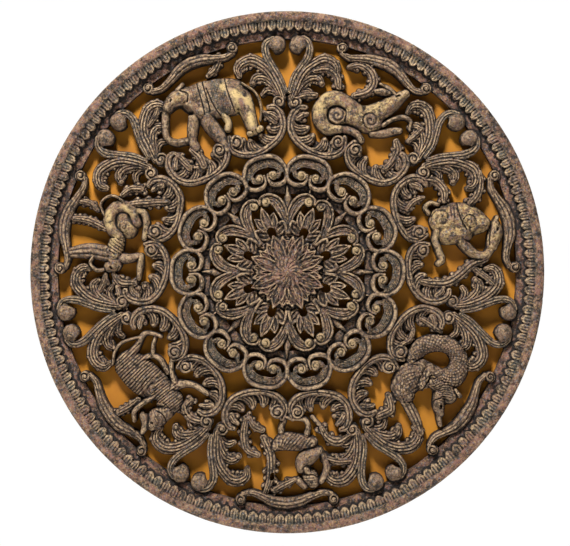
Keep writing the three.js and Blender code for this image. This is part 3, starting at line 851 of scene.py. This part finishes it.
# Thinning moves a few points a hair beyond the solid, so they are brought back into its box.
points = np.zeros(len(final_mesh.vertices) * 3, np.float32)
final_mesh.vertices.foreach_get("co", points)
points = np.clip(points.reshape(-1, 3), panel_low, panel_high)
final_mesh.vertices.foreach_set("co", points.astype(np.float32).ravel())
final_mesh.calc_loop_triangles()
print("the panel has", len(final_mesh.loop_triangles), "triangles")

# %% Layers for the finish
def blurred(layer, reach):
    for along in (0, 1):
        total = np.cumsum(np.pad(layer, [(reach + 1, reach) if k == along else (0, 0) for k in (0, 1)], "edge"), along)
        if along == 0:
            layer = (total[2 * reach + 1:] - total[:-2 * reach - 1]) / (2 * reach + 1)
        else:
            layer = (total[:, 2 * reach + 1:] - total[:, :-2 * reach - 1]) / (2 * reach + 1)
    return layer


full = np.where(inside > 0, height, 0)
relief_near = surface - blurred(surface, 2)
relief_wide = full - blurred(blurred(full, 8), 8)
coords = np.zeros(len(final_mesh.vertices) * 3, np.float32)
final_mesh.vertices.foreach_get("co", coords)
coords = coords.reshape(-1, 3) * 1000
column = (coords[:, 0] / SHRINK_ACROSS_GRAIN + GRID_HALF) / CELL
row = (coords[:, 2] + GRID_HALF) / CELL


def sampled(layer):
    c0 = np.clip(column.astype(int), 0, layer.shape[1] - 2)
    r0 = np.clip(row.astype(int), 0, layer.shape[0] - 2)
    u, v = column - c0, row - r0
    low = layer[r0, c0] * (1 - u) + layer[r0, c0 + 1] * u
    high = layer[r0 + 1, c0] * (1 - u) + layer[r0 + 1, c0 + 1] * u
    return low * (1 - v) + high * v


def note(name, values):
    layer = final_mesh.attributes.new(name, "FLOAT", "POINT")
    layer.data.foreach_set("value", values.astype(np.float32))


# The near and wide relief layers drive the painted highlight on ridges and the painted shade in grooves and recesses.
note("near_relief", np.clip(sampled(relief_near) / 3, -1, 1))
note("wide_relief", np.clip(sampled(relief_wide) / 25, -1, 1))
note("rise", np.clip((-BACK_PLANE - coords[:, 1]) / PANEL_DEPTH, 0, 1))
for name, layer in tints.items():
    note(name, sampled(blurred(layer, 1)))

final_mesh.shade_smooth()
final_mesh.set_sharp_from_angle(angle=math.radians(50))
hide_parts("carved_panel")
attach(panel, "root")

# %% Colours and node helpers
def colour(code):
    """A linear colour from its sRGB hex code."""
    values = [int(code[i:i + 2], 16) / 255 for i in (1, 3, 5)]
    return tuple(v / 12.92 if v <= 0.04045 else ((v + 0.055) / 1.055) ** 2.4 for v in values) + (1.0,)


def add(tree, kind, links=None, **settings):
    """Adds a node, sets its properties and sockets, and links its inputs."""
    node = tree.nodes.new(kind)
    for name, value in settings.items():
        if hasattr(node, name):
            setattr(node, name, value)
        else:
            node.inputs[name.replace("_", " ")].default_value = value
    for socket, source in (links or {}).items():
        tree.links.new(source, node.inputs[socket])
    return node

# %% Carved wood, with painted shade in the hollows and painted highlight on the ridges
wood = bpy.data.materials.new("weathered_wood_with_worn_gilding_and_painted_shade")
wood.use_nodes = True
tree = wood.node_tree
shader = tree.nodes["Principled BSDF"]
place = add(tree, "ShaderNodeTexCoord")
stretch = add(tree, "ShaderNodeMapping", {"Vector": place.outputs["Object"]})
stretch.inputs["Scale"].default_value = (1.0, 1.0, 0.16)


def noise(scale, detail, vector=None, rough=0.6):
    source = vector or place.outputs["Object"]
    return add(tree, "ShaderNodeTexNoise", {"Vector": source}, Scale=scale, Detail=detail, Roughness=rough).outputs["Fac"]


def attribute(name):
    return add(tree, "ShaderNodeAttribute", attribute_name=name).outputs["Fac"]


def ramp(source, stops):
    node = add(tree, "ShaderNodeValToRGB", {"Fac": source})
    first, last = node.color_ramp.elements
    first.position, first.color = stops[0][0], stops[0][1]
    last.position, last.color = stops[-1][0], stops[-1][1]
    for at, value in stops[1:-1]:
        element = node.color_ramp.elements.new(at)
        element.color = value
    return node.outputs["Color"]


def blend(factor, low, high, mode="MIX"):
    node = tree.nodes.new("ShaderNodeMix")
    node.data_type = "RGBA"
    node.blend_type = mode
    for socket, value in ((node.inputs[0], factor), (node.inputs[6], low), (node.inputs[7], high)):
        if isinstance(value, bpy.types.NodeSocket):
            tree.links.new(value, socket)
        else:
            socket.default_value = value
    return node.outputs[2]


def calc(kind, a, b=0.0):
    node = add(tree, "ShaderNodeMath", operation=kind)
    node.use_clamp = True
    for socket, value in zip(node.inputs, (a, b)):
        if isinstance(value, bpy.types.NodeSocket):
            tree.links.new(value, socket)
        else:
            socket.default_value = value
    return node.outputs[0]


def between(source, low, high):
    node = add(tree, "ShaderNodeMapRange", {"Value": source})
    node.inputs["From Min"].default_value = low
    node.inputs["From Max"].default_value = high
    return node.outputs[0]


grain = noise(420, 6, stretch.outputs[0], rough=0.7)
speck = noise(230, 3, rough=0.65)
grit = noise(330, 2, rough=0.7)
crumb = noise(160, 4, rough=0.7)
blotch = noise(60, 5)
patch = noise(22, 4)

base = ramp(grain, [(0.36, colour("#35261F")), (0.5, colour("#624C3D")), (0.62, colour("#90735A"))])
base = blend(between(blotch, 0.46, 0.6), base, blend(0.55, base, colour("#74544A")))
base = blend(calc("MULTIPLY", between(patch, 0.5, 0.62), 0.5), base, colour("#4E3830"))
lacquer = ramp(blotch, [(0.4, colour("#38221F")), (0.5, colour("#684036")), (0.6, colour("#94685A"))])
base = blend(calc("MULTIPLY", attribute("red"), 0.7), base, lacquer)
base = blend(calc("MULTIPLY", attribute("teal"), between(patch, 0.35, 0.6)), base, colour("#50564C"))
base = blend(calc("MULTIPLY", between(speck, 0.55, 0.62), 0.6), base, colour("#6C7884"))
base = blend(calc("MULTIPLY", between(crumb, 0.56, 0.63), 0.6), base, colour("#A87C68"))
base = blend(calc("MULTIPLY", between(grit, 0.57, 0.63), 0.7), base, colour("#BE985A"))
gilt_here = calc("ADD", calc("MULTIPLY", attribute("gilt"), 0.75), 0.05)
worn = between(noise(95, 8, rough=0.75), 0.48, 0.54)
base = blend(calc("MULTIPLY", worn, gilt_here), base, ramp(speck, [(0.38, colour("#A87E45")), (0.6, colour("#E3C689"))]))
base = blend(calc("MULTIPLY", attribute("gold"), between(blotch, 0.38, 0.52)), base, colour("#DDBE82"))
# Pale ridges: partly wear rubbed into the raised edges, partly a painted highlight where light would catch the ridges.
worn_and_highlit_ridges = calc("MULTIPLY", between(attribute("near_relief"), 0.06, 0.4), between(crumb, 0.4, 0.56))
base = blend(calc("MULTIPLY", worn_and_highlit_ridges, between(patch, 0.25, 0.55)), base, colour("#CDAF88"))
# Painted shade: grooves and creases are darkened almost to black, as if in shadow.
painted_groove_shade = between(attribute("near_relief"), -0.03, -0.35)
base = blend(calc("MULTIPLY", painted_groove_shade, 0.95), base, colour("#0E0906"))
# Painted shade: broad hollows lying below the surrounding carving are darkened, as if in shadow.
painted_recess_shade = between(attribute("wide_relief"), -0.05, -0.7)
base = blend(calc("MULTIPLY", painted_recess_shade, 0.7), base, colour("#1A120D"))
dirt = between(calc("ADD", calc("MULTIPLY", blotch, 0.5), calc("MULTIPLY", crumb, 0.5)), 0.49, 0.4)
base = blend(calc("MULTIPLY", dirt, 0.8), base, colour("#1A120E"))
tree.links.new(base, shader.inputs["Base Color"])
rough = ramp(blotch, [(0.3, (0.5, 0.5, 0.5, 1)), (0.7, (0.85, 0.85, 0.85, 1))])
tree.links.new(rough, shader.inputs["Roughness"])
fine = add(tree, "ShaderNodeBump", {"Height": grain}, Strength=0.7, Distance=0.0015)
coarse = add(tree, "ShaderNodeBump", {"Height": crumb, "Normal": fine.outputs[0]}, Strength=0.9, Distance=0.007)
tree.links.new(coarse.outputs[0], shader.inputs["Normal"])
final_mesh.materials.clear()
final_mesh.materials.append(wood)

# %% The painted board
paint = bpy.data.materials.new("ochre_paint_brushed_on_board")
paint.use_nodes = True
tree = paint.node_tree
shader = tree.nodes["Principled BSDF"]
place = add(tree, "ShaderNodeTexCoord")
cloud = add(tree, "ShaderNodeTexNoise", {"Vector": place.outputs["Object"]}, Scale=14.0, Detail=5.0)
tree.links.new(ramp(cloud.outputs["Fac"], [(0.3, colour("#AE6C12")), (0.7, colour("#CC8822"))]), shader.inputs["Base Color"])
tree.links.new(ramp(cloud.outputs["Fac"], [(0.3, (0.7, 0.7, 0.7, 1)), (0.7, (0.9, 0.9, 0.9, 1))]), shader.inputs["Roughness"])
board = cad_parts["backing_board"]
for slot in board.material_slots:
    slot.material = paint

# %% [markdown]
# ## The stage
# A photographer's white surround gives an even background from every side. This one is a large
# dome that glows white by itself. It is hidden from the light that bounces between surfaces, so
# it doesn't flatten the shadows in the carving. The pale floor ends below the camera's view.

# %% Floor and surround
FLOOR_LEVEL = -0.75
FLOOR_FRONT, FLOOR_END, FLOOR_SIDE = -3.0, 1.6, 3.0
SURROUND_RADIUS = 14.0


def stage_piece(name, shape):
    """Turns a bmesh into an object in the scene with a plain material of its own."""
    mesh = bpy.data.meshes.new(name)
    shape.to_mesh(mesh)
    shape.free()
    thing = bpy.data.objects.new(name, mesh)
    bpy.context.scene.collection.objects.link(thing)
    surface = bpy.data.materials.new(name)
    surface.use_nodes = True
    mesh.materials.append(surface)
    return thing, surface.node_tree.nodes["Principled BSDF"].inputs


floor_shape = bmesh.new()
corners = [(-1, FLOOR_FRONT), (1, FLOOR_FRONT), (1, FLOOR_END), (-1, FLOOR_END)]
floor_shape.faces.new([floor_shape.verts.new((FLOOR_SIDE * side, y, FLOOR_LEVEL)) for side, y in corners])
floor, finish = stage_piece("floor", floor_shape)
finish["Base Color"].default_value = (0.95, 0.95, 0.95, 1)

dome_shape = bmesh.new()
bmesh.ops.create_uvsphere(dome_shape, u_segments=32, v_segments=16, radius=SURROUND_RADIUS)
surround, finish = stage_piece("surround", dome_shape)
finish["Base Color"].default_value = (0, 0, 0, 1)
finish["Emission Color"].default_value = (1, 1, 1, 1)
finish["Emission Strength"].default_value = 1.0
surround.visible_diffuse = False
surround.visible_glossy = False
surround.visible_shadow = False
print("floor at", FLOOR_LEVEL, "m, surround of radius", SURROUND_RADIUS, "m")

# %% Light
def soft_light(name, place, aim, size, power):
    lamp = bpy.data.lights.new(name, "AREA")
    lamp.size = size
    lamp.energy = power
    thing = bpy.data.objects.new(name, lamp)
    thing.location = place
    thing.rotation_euler = (Vector(aim) - Vector(place)).to_track_quat("-Z", "Y").to_euler()
    bpy.context.scene.collection.objects.link(thing)


soft_light("key", (-0.6, -2.2, 2.5), (0, 0, 0), 0.6, 170)
soft_light("back_fill", (0.9, 2.4, 1.8), (0, 0, 0), 1.2, 60)
world = bpy.data.worlds.new("studio")
world.use_nodes = True
world.node_tree.nodes["Background"].inputs["Color"].default_value = (1, 1, 1, 1)
world.node_tree.nodes["Background"].inputs["Strength"].default_value = 0.08
bpy.context.scene.world = world

# %% Camera
PIXELS_PER_MM = 0.521
IMAGE_WIDTH, IMAGE_HEIGHT = 570, 546
distance = 4.0
aim = Vector((-0.0044, 0, -0.0015))
camera_data = bpy.data.cameras.new("camera")
camera_data.sensor_width = 36
camera_data.lens = 36 * (distance - 0.045) / (IMAGE_WIDTH / PIXELS_PER_MM / 1000)
camera = bpy.data.objects.new("camera", camera_data)
camera.location = aim + Vector((0, -distance, 0))
camera.rotation_euler = (math.pi / 2, 0, 0)
bpy.context.scene.collection.objects.link(camera)
bpy.context.scene.camera = camera
bpy.context.scene.view_settings.view_transform = "Standard"
